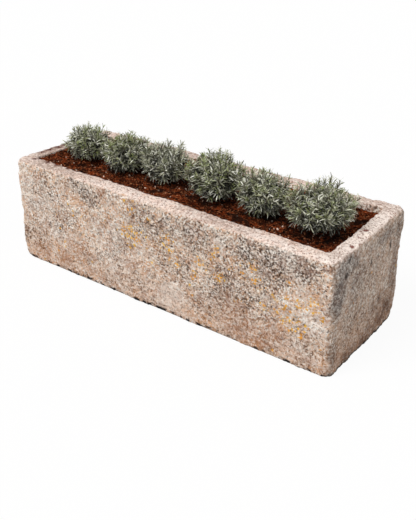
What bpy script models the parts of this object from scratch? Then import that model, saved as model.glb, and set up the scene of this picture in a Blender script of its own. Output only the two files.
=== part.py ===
"""A long stone water trough, hewn from one block of limestone and planted with a row of six lavenders.

The block stands on its foot at z = 0, with its length along X, its front long face at -Y and the middle of
its bounding box over the origin. Everything is in metres. Inside the block, from the floor up, lie a
potsherd over each drain hole, a drainage layer of gravel, the potting soil, and in the soil one root ball
for each plant, which carries a short branching stock of wood and the dome of leafy shoots on top of it.
"""

import math
import random

import bmesh
import bpy
from mathutils import Vector, noise

# The stone block. Its length is measured at the foot, its width at the rim.
LENGTH = 1.621
WIDTH = 0.580
HEIGHT = 0.480
END_WALL = 0.0675
LONG_WALL = 0.071
FLOOR = 0.080
CORNER_RADIUS = 0.030
CAVITY_CORNER_RADIUS = 0.030
FOOT_ROUNDING = 0.014
RIM_ROUNDING = 0.016
RIM_INNER_ROUNDING = 0.008
CAVITY_TAPER = 0.016
CAVITY_FILLET = 0.030

# A hand-hewn block isn't square: its left end leans in, its long faces lean in to the foot, and each corner
# of its rim stands at a height of its own.
LEFT_LEAN = 0.021
BATTER = 0.008
RIM_RISE_FRONT_LEFT = 0.006
RIM_RISE_FRONT_RIGHT = -0.010
RIM_RISE_BACK_RIGHT = 0.000
RIM_RISE_BACK_LEFT = -0.010
WAVE_DEPTH = 0.0045
WAVE_LENGTH = 0.160

# Drainage: holes drilled along the middle of the floor, a curved potsherd over each, and gravel over them.
HOLE_RADIUS = 0.018
HOLE_PLACE_SHARES = (-0.60, 0.0, 0.60)
SHERD_RADIUS = 0.075
SHERD_THICKNESS = 0.008
SHERD_LENGTH = 0.095
SHERD_HALF_ANGLE = math.radians(48)
GRAVEL_DEPTH = 0.050

# The potting soil lies a little under the rim, higher at the left end than at the right, with a bumpy surface.
# The shares place the rings of that surface between the cavity's wall and its middle.
FREEBOARD_LEFT = 0.020
FREEBOARD_RIGHT = 0.034
SOIL_BUMP = 0.006
SOIL_BUMP_LENGTH = 0.070
SOIL_RING_SHARES = (0.10, 0.24, 0.40, 0.56, 0.72, 0.88)

# The plants. Each row gives the plant's place along and across the cavity as shares of the half-length and
# half-width, its spread as a share of the plants' pitch, and its height as a share of FOLIAGE_HEIGHT. The
# stock holds the foliage clear of the soil by FOLIAGE_LIFT.
PLANT_SHARES = (
    (-0.833, -0.140, 0.433, 0.750),
    (-0.512, -0.120, 0.431, 0.790),
    (-0.214, -0.130, 0.409, 0.840),
    (0.158, -0.190, 0.520, 0.975),
    (0.482, -0.250, 0.424, 0.925),
    (0.822, -0.285, 0.540, 1.050),
)
FOLIAGE_HEIGHT = 0.200
FOLIAGE_LIFT = 0.009
ROOT_BALL_TOP_RADIUS = 0.062
ROOT_BALL_FOOT_RADIUS = 0.046
ROOT_BALL_HEIGHT = 0.110
TRUNK_RADIUS = 0.009
TRUNK_ROOTED = 0.020
TRUNK_RISE = 0.022
BRANCH_FOOT_RADIUS = 0.0055
BRANCH_TIP_RADIUS = 0.0032
BRANCHES = 5
BRANCH_REACH_SHARE = 0.75

# Running sizes that every piece shares.
SEAT_GAP = 0.0003
CUT_OVERRUN = 0.030

# How finely the curved faces are cut. LONG_STEPS and SIDE_STEPS are even, so that a ring has a point in the
# middle of each end.
LONG_STEPS = 40
SIDE_STEPS = 12
CORNER_STEPS = 3
ARC_STEPS = 3
SIDE_LEVELS = 6
ROUND_STEPS = 16
FOLIAGE_SECTORS = 20
SMOOTH_ANGLE = math.radians(40)
SHOOT_SMOOTH_ANGLE = math.radians(25)

# The foliage as rings from the middle of its hollow underside to its crown: radius as a share of the
# spread, height as a share of the plant's height.
FOLIAGE_RING_SHARES = (
    (0.36, 0.40),
    (0.44, 0.12),
    (0.62, 0.07),
    (0.80, 0.20),
    (0.93, 0.36),
    (1.00, 0.52),
    (0.99, 0.66),
    (0.92, 0.79),
    (0.76, 0.89),
    (0.54, 0.95),
    (0.28, 0.99),
)
UNDERSIDE_RINGS = 2
SHOOT_VALLEY_SHARE = 0.86
SHOOT_UNEVENNESS_SHARE = 0.06


def clear_scene():
    for old in list(bpy.data.objects):
        bpy.data.objects.remove(old)


def finish(name, red, green, blue, roughness):
    """A matt material of one sRGB colour."""
    made = bpy.data.materials.new(name)
    made.use_nodes = True
    shader = made.node_tree.nodes["Principled BSDF"]
    linear = [(c / 255) ** 2.2 for c in (red, green, blue)]
    shader.inputs["Base Color"].default_value = (*linear, 1)
    shader.inputs["Roughness"].default_value = roughness
    shader.inputs["Metallic"].default_value = 0.0
    return made


def add_object(name, mesh, material=None, place=(0, 0, 0)):
    made = bpy.data.objects.new(name, mesh)
    made.location = place
    if material:
        mesh.materials.append(material)
    bpy.context.scene.collection.objects.link(made)
    return made


def to_mesh(name, shape, smooth_angle=SMOOTH_ANGLE):
    """A bmesh made a mesh, shaded smooth except across sharp edges."""
    bmesh.ops.recalc_face_normals(shape, faces=shape.faces)
    mesh = bpy.data.meshes.new(name)
    shape.to_mesh(mesh)
    shape.free()
    mesh.shade_smooth()
    mesh.set_sharp_from_angle(angle=smooth_angle)
    return mesh


def cut(target, cutter, name):
    """Takes the cutter's shape out of the target, and leaves the cutter as a wire guide."""
    cutter.hide_render = True
    cutter.display_type = "WIRE"
    modifier = target.modifiers.new(name, "BOOLEAN")
    modifier.operation = "DIFFERENCE"
    modifier.solver = "EXACT"
    modifier.object = cutter


# The block's own geometry, which the gravel, the soil and the plants share.


def outline(half_length, half_width, radius):
    """The points of a rectangle with round corners, counter-clockwise from the middle of its left side."""
    half_side = SIDE_STEPS // 2
    x, y = half_length - radius, half_width - radius
    points = [(-half_length, -y * i / half_side) for i in range(half_side)]
    corners = ((-x, -y, 180), (x, -y, 270), (x, y, 0), (-x, y, 90))
    runs = ((LONG_STEPS, 2 * x, 0), (SIDE_STEPS, 0, 2 * y), (LONG_STEPS, -2 * x, 0), (half_side, 0, -y))
    for (cx, cy, start), (steps, run_x, run_y) in zip(corners, runs):
        for i in range(CORNER_STEPS):
            turn = math.radians(start + 90 * i / CORNER_STEPS)
            points.append((cx + radius * math.cos(turn), cy + radius * math.sin(turn)))
        turn = math.radians(start + 90)
        from_x, from_y = cx + radius * math.cos(turn), cy + radius * math.sin(turn)
        for i in range(steps):
            points.append((from_x + run_x * i / steps, from_y + run_y * i / steps))
    return points


def hewn(point):
    """Where a point of the ideal square block lies in the real one, with its leans and uneven rim."""
    x, y, z = point
    along, across, up = x / LENGTH + 0.5, y / WIDTH + 0.5, z / HEIGHT
    front = RIM_RISE_FRONT_LEFT * (1 - along) + RIM_RISE_FRONT_RIGHT * along
    back = RIM_RISE_BACK_LEFT * (1 - along) + RIM_RISE_BACK_RIGHT * along
    rise = front * (1 - across) + back * across
    over_floor = max(0, (z - FLOOR) / (HEIGHT - FLOOR))
    lean = LEFT_LEAN * up * (1 - along)
    batter = 2 * BATTER / WIDTH * (1 - up)
    return Vector((x + lean, y * (1 - batter), z + rise * over_floor))


def block_ring(z, inset):
    """One ring of the block's outside, at a height and set in from its widest outline."""
    radius = max(CORNER_RADIUS - inset, RIM_INNER_ROUNDING)
    points = outline(LENGTH / 2 - inset, WIDTH / 2 - inset, radius)
    return [Vector((x, y, z)) for x, y in points]


def cavity_ring(level, clearance=0.0, inset=0.0):
    """One ring of the cavity's wall. level is a height, or gives the height at a place along the block.

    clearance draws the ring in from the wall, for what lies inside the cavity."""
    half_length = LENGTH / 2 - END_WALL
    half_width = WIDTH / 2 - LONG_WALL
    height = level if callable(level) else lambda x: level
    drawn = CAVITY_TAPER * (HEIGHT - height(0)) / (HEIGHT - FLOOR) + clearance + inset
    radius = max(CAVITY_CORNER_RADIUS - inset, RIM_INNER_ROUNDING)
    points = outline(half_length - drawn, half_width - drawn, radius)
    return [Vector((x, y, height(x))) for x, y in points]


def fillet_rings(clearance=0.0, lift=0.0):
    """The rings of the round between the cavity's walls and its floor, from the floor up."""
    rings = []
    for i in range(ARC_STEPS + 1):
        turn = math.pi / 2 * i / ARC_STEPS
        z = FLOOR + lift + CAVITY_FILLET * (1 - math.cos(turn))
        rings.append(cavity_ring(z, clearance, CAVITY_FILLET * (1 - math.sin(turn))))
    return rings


def soil_level(x):
    """The height of the soil, in the ideal block, at a place along it."""
    along = x / LENGTH + 0.5
    return HEIGHT - (FREEBOARD_LEFT * (1 - along) + FREEBOARD_RIGHT * along)


def loft(shape, rings):
    """Joins each ring of points to the next with four-sided faces, and returns the rings' vertices."""
    rows = [[shape.verts.new(point) for point in ring] for ring in rings]
    for lower, upper in zip(rows, rows[1:]):
        for i in range(len(lower)):
            j = (i + 1) % len(lower)
            shape.faces.new((lower[i], lower[j], upper[j], upper[i]))
    return rows


def spined_cap(shape, row):
    """Closes a ring over a spine of points down its middle, and returns the spine's vertices."""
    count = len(row)
    first = SIDE_STEPS // 2 + CORNER_STEPS
    last = first + LONG_STEPS
    spine = [shape.verts.new((row[i].co + row[-i].co) / 2) for i in range(first, last + 1)]
    for i in range(-first, first):
        shape.faces.new((row[i], row[i + 1], spine[0]))
    for i in range(last, count - last):
        shape.faces.new((row[i], row[i + 1], spine[-1]))
    for i in range(first, last):
        near, far = spine[i - first], spine[i - first + 1]
        shape.faces.new((row[i], row[i + 1], far, near))
        shape.faces.new((near, far, row[-i - 1], row[-i]))
    return spine


def wave(shape, vertices, depth, length):
    """Moves vertices in and out along their normals, by smooth noise of a real depth and wavelength."""
    shape.normal_update()
    moves = [vertex.normal * depth * noise.noise(vertex.co / length) for vertex in vertices]
    for vertex, move in zip(vertices, moves):
        vertex.co += move


def hew(shape):
    for vertex in shape.verts:
        vertex.co = hewn(vertex.co)


def cylinder(name, radius, bottom, top, place_x, place_y, foot_radius=None):
    """An upright cylinder or, with a foot radius, a tapered one."""
    shape = bmesh.new()
    bmesh.ops.create_cone(
        shape,
        cap_ends=True,
        segments=ROUND_STEPS,
        radius1=radius if foot_radius is None else foot_radius,
        radius2=radius,
        depth=top - bottom,
    )
    bmesh.ops.translate(shape, verts=shape.verts, vec=(0, 0, (top + bottom) / 2))
    return add_object(name, to_mesh(name, shape), place=(place_x, place_y, 0))


# The stone.


def trough_body(material):
    shape = bmesh.new()
    rings = []
    for i in range(ARC_STEPS + 1):
        turn = math.pi / 2 * i / ARC_STEPS
        inset = FOOT_ROUNDING * (1 - math.sin(turn))
        rings.append(block_ring(FOOT_ROUNDING * (1 - math.cos(turn)), inset))
    side = HEIGHT - FOOT_ROUNDING - RIM_ROUNDING
    for i in range(1, SIDE_LEVELS):
        rings.append(block_ring(FOOT_ROUNDING + side * i / SIDE_LEVELS, 0))
    for i in range(ARC_STEPS + 1):
        turn = math.pi / 2 * i / ARC_STEPS
        inset = RIM_ROUNDING * (1 - math.cos(turn))
        rings.append(block_ring(HEIGHT - RIM_ROUNDING * (1 - math.sin(turn)), inset))
    outer_count = len(rings)
    for i in range(ARC_STEPS + 1):
        turn = math.pi / 2 * i / ARC_STEPS
        drop = RIM_INNER_ROUNDING * (1 - math.cos(turn))
        inset = -RIM_INNER_ROUNDING * (1 - math.sin(turn))
        rings.append(cavity_ring(HEIGHT - drop, 0, inset))
    rings.append(cavity_ring(soil_level))
    rings.append(cavity_ring(FLOOR + GRAVEL_DEPTH))
    rings += reversed(fillet_rings())
    rows = loft(shape, rings)
    spined_cap(shape, rows[0])
    spined_cap(shape, rows[-1])
    hew(shape)
    outside = [vertex for row in rows[2:outer_count] for vertex in row]
    wave(shape, outside, WAVE_DEPTH, WAVE_LENGTH)
    xs = [vertex.co.x for vertex in shape.verts]
    ys = [vertex.co.y for vertex in shape.verts]
    middle = Vector(((min(xs) + max(xs)) / 2, (min(ys) + max(ys)) / 2, 0))
    trough = add_object("trough_body", to_mesh("trough_body", shape), material)
    for i, place in enumerate(hole_places()):
        name = f"drain_hole_{i + 1}"
        drill = cylinder(name, HOLE_RADIUS, -CUT_OVERRUN, FLOOR + CUT_OVERRUN, place.x, place.y)
        cut(trough, drill, name)
    return middle


def hole_places():
    """Where each drain hole comes out on the cavity's floor."""
    return [hewn((share * (LENGTH / 2 - END_WALL), 0, FLOOR)) for share in HOLE_PLACE_SHARES]


# What lies in the cavity.


def arch(radius, crown):
    """The points of the sherd's arc across the trough, from front to back, as places across and up."""
    steps = 2 * ARC_STEPS
    turns = [SHERD_HALF_ANGLE * (2 * i / steps - 1) for i in range(steps + 1)]
    return [(radius * math.sin(t), crown - radius * (1 - math.cos(t))) for t in turns]


def extrusion(section, length):
    """A section across the trough drawn out along it, with both ends closed."""
    shape = bmesh.new()
    ends = [[shape.verts.new((x, y, z)) for y, z in section] for x in (-length / 2, length / 2)]
    for i in range(len(section)):
        j = (i + 1) % len(section)
        shape.faces.new((ends[0][i], ends[0][j], ends[1][j], ends[1][i]))
    shape.faces.new(ends[0])
    shape.faces.new(ends[1])
    return shape


def sherd_crown():
    return SHERD_RADIUS * (1 - math.cos(SHERD_HALF_ANGLE))


def potsherds(material):
    """A curved piece of a broken pot over each drain hole, lying on its two long edges."""
    outer = arch(SHERD_RADIUS, sherd_crown())
    inner = arch(SHERD_RADIUS - SHERD_THICKNESS, sherd_crown() - SHERD_THICKNESS)
    back_foot, front_foot = (inner[-1][0], 0), (inner[0][0], 0)
    section = outer + [back_foot] + inner[-2:0:-1] + [front_foot]
    for i, place in enumerate(hole_places()):
        name = f"drain_sherd_{i + 1}"
        seat = place + Vector((0, 0, SEAT_GAP))
        add_object(name, to_mesh(name, extrusion(section, SHERD_LENGTH)), material, seat)


def drainage_gravel(material):
    shape = bmesh.new()
    rings = fillet_rings(SEAT_GAP, SEAT_GAP)
    rings.append(cavity_ring(FLOOR + GRAVEL_DEPTH, SEAT_GAP))
    rows = loft(shape, rings)
    spined_cap(shape, rows[0])
    spined_cap(shape, rows[-1])
    hew(shape)
    gravel = add_object("drainage_gravel", to_mesh("drainage_gravel", shape), material)
    roof = arch(SHERD_RADIUS + SEAT_GAP, sherd_crown() + 2 * SEAT_GAP)
    section = roof + [(roof[-1][0], -CUT_OVERRUN), (roof[0][0], -CUT_OVERRUN)]
    for i, place in enumerate(hole_places()):
        name = f"sherd_pocket_{i + 1}"
        room = extrusion(section, SHERD_LENGTH + 2 * SEAT_GAP)
        cut(gravel, add_object(name, to_mesh(name, room), place=place), name)


def potting_soil(material, plants):
    shape = bmesh.new()
    bottom = FLOOR + GRAVEL_DEPTH + SEAT_GAP
    half_width = WIDTH / 2 - LONG_WALL
    rings = [cavity_ring(bottom, SEAT_GAP), cavity_ring(soil_level, SEAT_GAP)]
    insets = [half_width * share for share in SOIL_RING_SHARES]
    rings += [cavity_ring(soil_level, SEAT_GAP, inset) for inset in insets]
    rows = loft(shape, rings)
    spined_cap(shape, rows[0])
    spine = spined_cap(shape, rows[-1])
    hew(shape)
    surface = [vertex for row in rows[2:] for vertex in row] + spine
    wave(shape, surface, SOIL_BUMP, SOIL_BUMP_LENGTH)
    soil = add_object("potting_soil", to_mesh("potting_soil", shape), material)
    for plant in plants:
        foot = plant.ground - ROOT_BALL_HEIGHT - SEAT_GAP
        name = f"planting_hole_{plant.number}"
        slope = (ROOT_BALL_TOP_RADIUS - ROOT_BALL_FOOT_RADIUS) / ROOT_BALL_HEIGHT
        hole = cylinder(
            name,
            ROOT_BALL_TOP_RADIUS + SEAT_GAP + slope * CUT_OVERRUN,
            foot,
            plant.ground + CUT_OVERRUN,
            plant.x,
            plant.y,
            ROOT_BALL_FOOT_RADIUS + SEAT_GAP,
        )
        cut(soil, hole, name)


# The plants.


class Plant:
    """Where one plant stands and how far it spreads, worked out from the cavity that it grows in."""

    def __init__(self, number, shares):
        along, across, spread, height = shares
        half_length = LENGTH / 2 - END_WALL
        half_width = WIDTH / 2 - LONG_WALL
        ideal_x = along * half_length
        place = hewn((ideal_x, across * half_width, soil_level(ideal_x)))
        self.number = number
        self.x, self.y, self.ground = place
        self.spread = spread * 2 * half_length / len(PLANT_SHARES)
        self.height = height * FOLIAGE_HEIGHT


def root_ball(plant, material):
    name = f"plant_{plant.number}_root_ball"
    foot = -ROOT_BALL_HEIGHT
    ball = cylinder(name, ROOT_BALL_TOP_RADIUS, foot, 0, plant.x, plant.y, ROOT_BALL_FOOT_RADIUS)
    ball.location.z = plant.ground
    ball.data.materials.append(material)
    guide = f"trunk_socket_{plant.number}"
    bottom = -TRUNK_ROOTED - SEAT_GAP
    socket = cylinder(guide, TRUNK_RADIUS + SEAT_GAP, bottom, CUT_OVERRUN, plant.x, plant.y)
    socket.location.z = plant.ground
    cut(ball, socket, guide)


def stock_of_wood(plant, material):
    """The short trunk and its branches, which spread up to the hollow underside of the foliage."""
    name = f"plant_{plant.number}_stock"
    shape = bmesh.new()
    rings = []
    for radius, z in (
        (TRUNK_RADIUS, -TRUNK_ROOTED),
        (TRUNK_RADIUS, 0),
        (TRUNK_RADIUS + BRANCH_TIP_RADIUS, TRUNK_RISE / 2),
        (TRUNK_RADIUS + BRANCH_FOOT_RADIUS, TRUNK_RISE),
    ):
        rings.append(circle(0, 0, z, radius, ROUND_STEPS))
    rows = loft(shape, rings)
    shape.faces.new(rows[0])
    shape.faces.new(rows[-1])
    stock = add_object(name, to_mesh(name, shape), material, (plant.x, plant.y, plant.ground))
    ceiling = FOLIAGE_LIFT + FOLIAGE_RING_SHARES[0][1] * plant.height - SEAT_GAP
    reach = FOLIAGE_RING_SHARES[0][0] * plant.spread * SHOOT_VALLEY_SHARE * BRANCH_REACH_SHARE
    for i in range(BRANCHES):
        turn = 2 * math.pi * (i + plant.number / len(PLANT_SHARES)) / BRANCHES
        foot_x, foot_y = TRUNK_RADIUS * math.cos(turn), TRUNK_RADIUS * math.sin(turn)
        tip_x, tip_y = reach * math.cos(turn), reach * math.sin(turn)
        branch = bmesh.new()
        foot_ring = circle(foot_x, foot_y, TRUNK_RISE / 2, BRANCH_FOOT_RADIUS, ROUND_STEPS // 2)
        tip_ring = circle(tip_x, tip_y, ceiling, BRANCH_TIP_RADIUS, ROUND_STEPS // 2)
        branch_rows = loft(branch, [foot_ring, tip_ring])
        branch.faces.new(branch_rows[0])
        branch.faces.new(branch_rows[1])
        guide = f"branch_{plant.number}_{i + 1}"
        helper = add_object(guide, to_mesh(guide, branch), place=stock.location)
        helper.hide_render = True
        helper.display_type = "WIRE"
        modifier = stock.modifiers.new(guide, "BOOLEAN")
        modifier.operation = "UNION"
        modifier.solver = "EXACT"
        modifier.object = helper


def circle(x, y, z, radius, steps):
    turns = [2 * math.pi * i / steps for i in range(steps)]
    return [Vector((x + radius * math.cos(t), y + radius * math.sin(t), z)) for t in turns]


def foliage(plant, material):
    """The dome of leafy shoots: rings of tips and valleys, with a flat seat in its underside for the wood."""
    name = f"plant_{plant.number}_foliage"
    shape = bmesh.new()
    chance = random.Random(plant.number)
    heart = Vector((0, 0, FOLIAGE_RING_SHARES[UNDERSIDE_RINGS][1] * plant.height))
    rows = []
    for k, (radius_share, height_share) in enumerate(FOLIAGE_RING_SHARES):
        ring = circle(0, 0, height_share * plant.height, radius_share * plant.spread, FOLIAGE_SECTORS)
        centre = Vector((0, 0, ring[0].z)) if k < UNDERSIDE_RINGS else heart
        row = []
        for j, point in enumerate(ring):
            reach = SHOOT_VALLEY_SHARE
            if is_tip(k, j):
                reach = 1 - SHOOT_UNEVENNESS_SHARE * chance.random()
            row.append(shape.verts.new(centre + (point - centre) * reach))
        rows.append(row)
    for k in range(len(rows) - 1):
        for j in range(FOLIAGE_SECTORS):
            right = (j + 1) % FOLIAGE_SECTORS
            corners = [rows[k][j], rows[k][right], rows[k + 1][right], rows[k + 1][j]]
            if not is_tip(k, j):
                corners = corners[1:] + corners[:1]
            shape.faces.new((corners[0], corners[1], corners[3]))
            shape.faces.new((corners[1], corners[2], corners[3]))
    shape.faces.new(rows[0])
    crown = shape.verts.new((0, 0, plant.height))
    for j in range(FOLIAGE_SECTORS):
        shape.faces.new((rows[-1][j], rows[-1][(j + 1) % FOLIAGE_SECTORS], crown))
    mesh = to_mesh(name, shape, SHOOT_SMOOTH_ANGLE)
    add_object(name, mesh, material, (plant.x, plant.y, plant.ground + FOLIAGE_LIFT))


def is_tip(ring, sector):
    """Whether the dome has a shoot's tip there. Tips and valleys take turns, except on the underside."""
    return ring >= UNDERSIDE_RINGS and (ring + sector) % 2 == 0


def main():
    clear_scene()
    limestone = finish("limestone", 190, 166, 147, 0.92)
    terracotta = finish("terracotta", 178, 98, 66, 0.85)
    pea_gravel = finish("pea_gravel", 150, 140, 125, 0.8)
    soil = finish("potting_soil", 84, 46, 28, 0.97)
    compost = finish("root_compost", 62, 38, 26, 0.97)
    wood = finish("lavender_wood", 112, 98, 80, 0.85)
    leaves = finish("lavender_leaves", 122, 124, 104, 0.8)
    plants = [Plant(i + 1, shares) for i, shares in enumerate(PLANT_SHARES)]
    middle = trough_body(limestone)
    potsherds(terracotta)
    drainage_gravel(pea_gravel)
    potting_soil(soil, plants)
    for plant in plants:
        root_ball(plant, compost)
        stock_of_wood(plant, wood)
        foliage(plant, leaves)
    for piece in bpy.data.objects:
        piece.location -= middle


main()
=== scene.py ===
import math
import random
from functools import partial

import bmesh
import bpy
import numpy as np
from mathutils import Matrix, Vector, noise


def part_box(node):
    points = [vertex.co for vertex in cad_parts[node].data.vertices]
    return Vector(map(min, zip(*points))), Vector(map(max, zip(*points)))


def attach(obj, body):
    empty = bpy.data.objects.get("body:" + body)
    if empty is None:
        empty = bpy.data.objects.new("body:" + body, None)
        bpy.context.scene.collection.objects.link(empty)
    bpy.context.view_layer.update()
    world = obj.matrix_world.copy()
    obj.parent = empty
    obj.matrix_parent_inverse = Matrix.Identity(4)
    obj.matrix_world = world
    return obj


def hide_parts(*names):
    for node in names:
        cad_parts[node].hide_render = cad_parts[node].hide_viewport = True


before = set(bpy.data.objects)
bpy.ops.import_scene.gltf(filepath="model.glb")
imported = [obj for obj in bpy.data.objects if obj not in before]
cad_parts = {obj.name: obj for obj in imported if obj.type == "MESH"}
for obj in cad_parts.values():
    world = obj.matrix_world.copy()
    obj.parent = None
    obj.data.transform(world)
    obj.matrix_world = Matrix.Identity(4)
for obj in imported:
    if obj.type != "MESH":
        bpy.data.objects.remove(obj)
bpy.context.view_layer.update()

mm = 0.001


# Small helpers that every piece uses.

def colour(hexCode):
    # an sRGB hex value as the linear colour that Blender's sockets hold
    parts = [int(hexCode[i:i + 2], 16) / 255 for i in (1, 3, 5)]
    return (*(c / 12.92 if c <= 0.04045 else ((c + 0.055) / 1.055) ** 2.4 for c in parts), 1.0)


def addNode(tree, kind, *inputs, **named):
    # One node with its inputs, links and settings. Its kind is Blender's name for it without the family.
    # Inputs come in the order of its sockets, or by a socket's name, which has a capital letter, and an
    # underscore for a space. A setting's name has a small letter. A node given as an input stands for its
    # output in use.
    families = ("GeometryNode", "FunctionNode", "ShaderNode", "Node")
    node = tree.nodes.new(next(f + kind for f in families if hasattr(bpy.types, f + kind)))
    given = dict(enumerate(inputs))
    for name, value in named.items():
        if name[0].isupper():
            given[name.replace("_", " ")] = value
        else:
            setattr(node, name, value)
    for key, value in given.items():
        socket = next(s for i, s in enumerate(node.inputs) if key == i or (s.enabled and key == s.name))
        if isinstance(value, bpy.types.Node):
            value = next(s for s in value.outputs if s.enabled)
        if isinstance(value, bpy.types.NodeSocket):
            tree.links.new(value, socket)
        else:
            socket.default_value = value
    return node


def startMaterial(name):
    # an empty material, what adds nodes to it, and the place on the surface that its patterns are read at
    made = bpy.data.materials.new(name)
    made.use_nodes = True
    made.node_tree.nodes.clear()
    add = partial(addNode, made.node_tree)
    return made, add, add("TexCoord").outputs["Object"]


def endMaterial(add, **inputs):
    add("OutputMaterial", add("BsdfPrincipled", **inputs))


def addNoise(add, place, shift, size, detail=2.0, roughness=0.5, stretch=1):
    # noise with lumps of a real size, read at a shifted place
    moved = add("Mapping", Vector=place, Location=(shift,) * 3, Scale=(1, 1, stretch))
    return add("TexNoise", Vector=moved, Scale=1 / size, Detail=detail, Roughness=roughness)


def addTone(add, below, tone, share, cover=None):
    # lays a tone over the colour below, as far as its share says, thinned by its cover
    if cover is not None:
        share = add("Math", share, cover, operation="MULTIPLY")
    if isinstance(tone, str):
        tone = colour(tone)
    return add("Mix", Factor=share, A=below, B=tone, data_type="RGBA")


def addWashes(add, place, masks, below, washes):
    # lays tones over the colour below, each in clouds of noise, where its mask lets it show
    for tone, size, edge, window, cover, mask, shift, stretch in washes:
        cloud = addNoise(add, place, shift, size * mm, 2.0, edge, stretch)
        share = add("MapRange", cloud, *window, *cover, interpolation_type="SMOOTHSTEP")
        below = addTone(add, below, tone, share, masks.get(mask))
    return below


def addCells(add, place, spacing, shift, lump, push, middle):
    # cells with ragged edges and three random numbers for each; lumps and push are shares of their spacing
    moved = add("Mapping", Vector=place, Location=(shift,) * 3)
    ragged = add("TexNoise", Vector=moved, Scale=1 / (spacing * lump), Detail=1.0)
    off = add("VectorMath", ragged.outputs["Color"], (middle,) * 3, operation="SUBTRACT")
    moved = add("VectorMath", off, (spacing * push,) * 3, moved, operation="MULTIPLY_ADD")
    cells = add("TexVoronoi", Vector=moved, Scale=1 / spacing).outputs
    return cells["Distance"], add("SeparateXYZ", cells["Color"]).outputs


def addSpots(add, place, chance, spots):
    # a blob with a ragged edge in each cell that the chance lets through, and a random number for each cell
    spacing, smallest, largest, shift = spots
    away, numbers = addCells(add, place, spacing, shift, 0.45, 0.9, 0.5)
    reach = add("MapRange", numbers[1], 0.0, 1.0, smallest / spacing, largest / spacing)
    depth = add("Math", reach, away, operation="SUBTRACT")
    inside = add("Math", depth, 14.0, operation="MULTIPLY", use_clamp=True)
    chosen = add("Math", numbers[0], chance, operation="LESS_THAN")
    return add("Math", inside, chosen, operation="MULTIPLY"), numbers[2]


def startTree(name, inputs):
    # a Geometry Nodes tree with named number inputs, what adds nodes to it, and its inputs
    tree = bpy.data.node_groups.new(name, "GeometryNodeTree")
    for way in ("INPUT", "OUTPUT"):
        tree.interface.new_socket("Geometry", in_out=way, socket_type="NodeSocketGeometry")
    for label, value in inputs.items():
        kind = "NodeSocketInt" if isinstance(value, int) else "NodeSocketFloat"
        tree.interface.new_socket(label, in_out="INPUT", socket_type=kind).default_value = value
    add = partial(addNode, tree)
    return tree, add, add("GroupInput").outputs


def addLumps(add, place, size, depth, below, detail, roughness):
    # raises and lowers a height by noise, with the lumps' size and their depth from lowest to highest
    scale = add("Math", 1.0, size, operation="DIVIDE")
    lumps = add("TexNoise", Vector=place, Scale=scale, Detail=detail, Roughness=roughness)
    level = add("Math", lumps, 0.5, operation="SUBTRACT")
    return add("Math", level, depth, below, operation="MULTIPLY_ADD")


def endTree(add, geometry, material):
    real = add("RealizeInstances", geometry)
    add("GroupOutput", add("SetMaterial", real, Material=material))


def evaluated(source):
    # what an object's modifiers make of it, as a mesh of its own
    bpy.context.view_layer.update()
    return bpy.data.meshes.new_from_object(source.evaluated_get(bpy.context.evaluated_depsgraph_get()))


def runTree(name, source, tree, inputs):
    # sets the modifier's inputs by identifier, and gives back what it makes as a plain mesh object
    modifier = source.modifiers.new(tree.name, "NODES")
    modifier.node_group = tree
    for socket in tree.interface.items_tree:
        if socket.in_out == "INPUT" and socket.name in inputs:
            modifier[socket.identifier] = inputs[socket.name]
    mesh = evaluated(source)
    source.modifiers.remove(modifier)
    bpy.data.objects.remove(source)
    return newObject(name, mesh)


def newObject(name, data, shown=True):
    data.name = name
    made = bpy.data.objects.new(name, data)
    bpy.context.scene.collection.objects.link(made)
    made.hide_render = not shown
    return made


def meshOf(name, points, faces, edges=()):
    mesh = bpy.data.meshes.new(name)
    mesh.from_pydata([tuple(p) for p in points], edges, faces)
    mesh.update()
    return mesh


def faceOutward(mesh):
    bm = bmesh.new()
    bm.from_mesh(mesh)
    bmesh.ops.recalc_face_normals(bm, faces=bm.faces)
    bm.to_mesh(mesh)
    bm.free()


def readVertices(mesh, name):
    # the places or the normals of a mesh's vertices, a row for each
    values = np.empty(len(mesh.vertices) * 3, np.float32)
    mesh.vertices.foreach_get(name, values)
    return values.reshape(-1, 3)


def paint(mesh, name, values):
    # a number for each vertex, which the trees and the materials read by name
    layer = mesh.attributes.new(name, "FLOAT", "POINT")
    layer.data.foreach_set("value", np.asarray(values, dtype=np.float32))


def ease(low, high, x):
    t = np.clip((x - low) / (high - low), 0, 1)
    return t * t * (3 - 2 * t)


# Camera, light and the pale floor.

view = {
    "lens": 51.32, "sensor": 36.0,          # mm, over the photograph's longer side
    "place": (1.7465, -2.2848, 1.6368),     # m
    "yaw": 36.31, "pitch": 28.0, "roll": 0.63,
}

light = {
    "skyColour": "#FFFFFF", "skyStrength": 0.46,
    "sunStrength": 2.1, "sunAngle": 30.0, "sunFrom": (-0.29, -0.60, 0.75),
    "fillStrength": 0.55, "fillAngle": 60.0, "fillFrom": (0.85, -0.25, 0.45),
    "floorTone": "#9C9894", "floorSeen": "#F4F3F2", "floorGlow": 0.94,
    "floorSize": 14.0, "floorHeight": -0.4 * mm,
}


def makeView():
    yaw, pitch, roll = (math.radians(view[k]) for k in ("yaw", "pitch", "roll"))
    ahead = Vector((-math.sin(yaw) * math.cos(pitch), math.cos(yaw) * math.cos(pitch), -math.sin(pitch)))
    level = Vector((math.cos(yaw), math.sin(yaw), 0))
    above = level.cross(ahead)
    right = level * math.cos(roll) + above * math.sin(roll)
    up = above * math.cos(roll) - level * math.sin(roll)
    data = bpy.data.cameras.new("photoCamera")
    data.lens, data.sensor_width = view["lens"], view["sensor"]
    data.clip_start, data.clip_end = 0.05, 50
    camera = newObject("photoCamera", data)
    turn = Matrix((right, up, -ahead)).transposed().to_4x4()
    camera.matrix_world = Matrix.Translation(view["place"]) @ turn
    bpy.context.scene.camera = camera


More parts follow.
